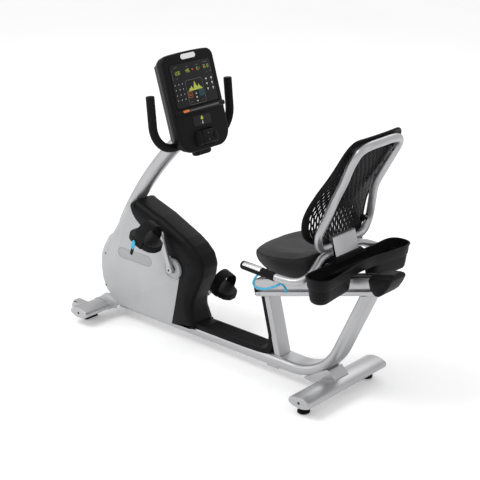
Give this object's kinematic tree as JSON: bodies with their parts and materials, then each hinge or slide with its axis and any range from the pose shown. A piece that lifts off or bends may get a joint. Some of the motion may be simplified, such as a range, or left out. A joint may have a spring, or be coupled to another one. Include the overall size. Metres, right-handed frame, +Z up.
{
  "type": "recumbent exercise bike",
  "caption": "Recumbent exercise bike: sliding seat with mesh-style back on a sloping rail, cranks in a grey casing, mast with console and bar",
  "frame": {"origin": "on the floor, under the middle of the bounding box", "axes": "+X from the console towards the back of the seat (the rider faces -X), +Y to the rider's right, +Z up"},
  "size_m": [1.7736, 0.62, 1.3701],
  "materials": {
    "silver_paint": "fine silver powder coat",
    "grey_casing": "light grey moulded, satin",
    "black_plastic": "black moulded, fine grain",
    "gloss_black": "glossy dark overlay",
    "rubber_black": "soft black rubber",
    "foam_grip": "soft textured grip",
    "upholstery": "dark grey coated fabric, fine texture",
    "cyan_plastic": "cyan coated, semi-gloss",
    "rail_aluminium": "brushed, anodised grey",
    "dark_metal": "dark grey paint",
    "steel": "machined steel",
    "white_plastic": "white moulded",
    "contact_silver": "satin plated contact"
  },
  "bodies": {
    "frame": {"front_stabilizer": "silver_paint", "rear_stabilizer": "silver_paint", "stabilizer_end_caps": "silver_paint", "front_pads": "rubber_black", "wheel_brackets": "silver_paint", "base_beam": "silver_paint", "rear_riser": "silver_paint", "rear_saddle": "silver_paint", "front_post": "silver_paint", "post_cover": "black_plastic", "step_cover": "black_plastic", "rail_base": "silver_paint", "seat_rail": "rail_aluminium", "rail_end_caps": "black_plastic", "mast": "silver_paint", "drive_plates": "dark_metal", "crank_bearings": "steel", "left_shroud": "grey_casing", "right_shroud": "grey_casing", "center_shroud": "black_plastic", "crank_covers": "contact_silver", "cover_screws": "steel", "console_housing": "black_plastic", "console_back": "black_plastic", "display_panel": "gloss_black", "reading_ledge": "black_plastic", "console_badge": "white_plastic", "handlebar": "dark_metal", "handlebar_grips": "foam_grip", "generator_housing": "dark_metal", "drive_belts": "rubber_black"},
    "left_wheel_body": {"left_wheel": "rubber_black"},
    "right_wheel_body": {"right_wheel": "rubber_black"},
    "left_foot_body": {"left_leveling_foot": "rubber_black"},
    "right_foot_body": {"right_leveling_foot": "rubber_black"},
    "crank": {"crank_axle": "steel", "drive_pulley": "dark_metal", "crank_arms": "rail_aluminium"},
    "left_pedal_body": {"left_pedal": "black_plastic", "left_pedal_strap": "rubber_black", "left_strap_buckle": "cyan_plastic"},
    "right_pedal_body": {"right_pedal": "black_plastic", "right_pedal_strap": "rubber_black", "right_strap_buckle": "cyan_plastic"},
    "jackshaft_body": {"jackshaft": "steel"},
    "rotor_body": {"generator_rotor": "steel"},
    "seat": {"seat_carriage": "silver_paint", "carriage_glides": "white_plastic", "seat_pan": "dark_metal", "seat_cushion": "upholstery", "back_bracket": "silver_paint", "back_frame": "silver_paint", "back_shell": "black_plastic", "side_handlebars": "silver_paint", "side_grips": "foam_grip", "heart_rate_contacts": "contact_silver", "accessory_tray": "black_plastic"},
    "lever_body": {"adjust_lever": "cyan_plastic"},
    "pin_body": {"lock_pin": "steel"},
    "paddle_body": {"resistance_paddle": "black_plastic"}
  },
  "joints": [
    {"name": "left_wheel_spin", "type": "hinge", "parent": "frame", "child": "left_wheel_body", "pos_m": [-0.859, -0.19, 0.06], "axis": [0, 1, 0], "continuous": true},
    {"name": "right_wheel_spin", "type": "hinge", "parent": "frame", "child": "right_wheel_body", "pos_m": [-0.859, 0.19, 0.06], "axis": [0, 1, 0], "continuous": true},
    {"name": "left_foot_screw", "type": "slide", "parent": "frame", "child": "left_foot_body", "axis": [0, 0, -1], "range_m": [0, 0.015]},
    {"name": "right_foot_screw", "type": "slide", "parent": "frame", "child": "right_foot_body", "axis": [0, 0, -1], "range_m": [0, 0.015]},
    {"name": "crank_spin", "type": "hinge", "parent": "frame", "child": "crank", "pos_m": [-0.305, 0, 0.366], "axis": [0, 1, 0], "continuous": true},
    {"name": "left_pedal_spin", "type": "hinge", "parent": "crank", "child": "left_pedal_body", "pos_m": [-0.35753, -0.193, 0.52768], "axis": [0, 1, 0], "continuous": true},
    {"name": "right_pedal_spin", "type": "hinge", "parent": "crank", "child": "right_pedal_body", "pos_m": [-0.25247, 0.193, 0.20432], "axis": [0, 1, 0], "continuous": true},
    {"name": "jackshaft_spin", "type": "hinge", "parent": "frame", "child": "jackshaft_body", "pos_m": [-0.535, 0, 0.35], "axis": [0, 1, 0], "continuous": true},
    {"name": "rotor_spin", "type": "hinge", "parent": "frame", "child": "rotor_body", "pos_m": [-0.69, 0, 0.235], "axis": [0, 1, 0], "continuous": true},
    {"name": "seat_slide", "type": "slide", "parent": "frame", "child": "seat", "axis": [0.9617, 0, 0.274], "range_m": [-0.14, 0.165]},
    {"name": "lever_lift", "type": "hinge", "parent": "seat", "child": "lever_body", "pos_m": [0.373, 0, 0.485], "axis": [0, 1, 0], "range_deg": [0, 12], "stiffness_Nm_per_rad": 3, "springref_deg": -20.05},
    {"name": "pin_lift", "type": "slide", "parent": "seat", "child": "pin_body", "axis": [-0.274, 0, 0.9617], "range_m": [0, 0.01]},
    {"name": "paddle_rock", "type": "hinge", "parent": "frame", "child": "paddle_body", "pos_m": [-0.16626, 0, 1.00801], "axis": [0, 1, 0], "range_deg": [-7, 7], "stiffness_Nm_per_rad": 0.5}
  ],
  "couplings": [
    {"joint": "jackshaft_spin", "follows": "crank_spin", "ratio": 4.2308},
    {"joint": "rotor_spin", "follows": "crank_spin", "ratio": 16.923},
    {"joint": "pin_lift", "follows": "lever_lift", "m_per_rad": 0.04775}
  ]
}
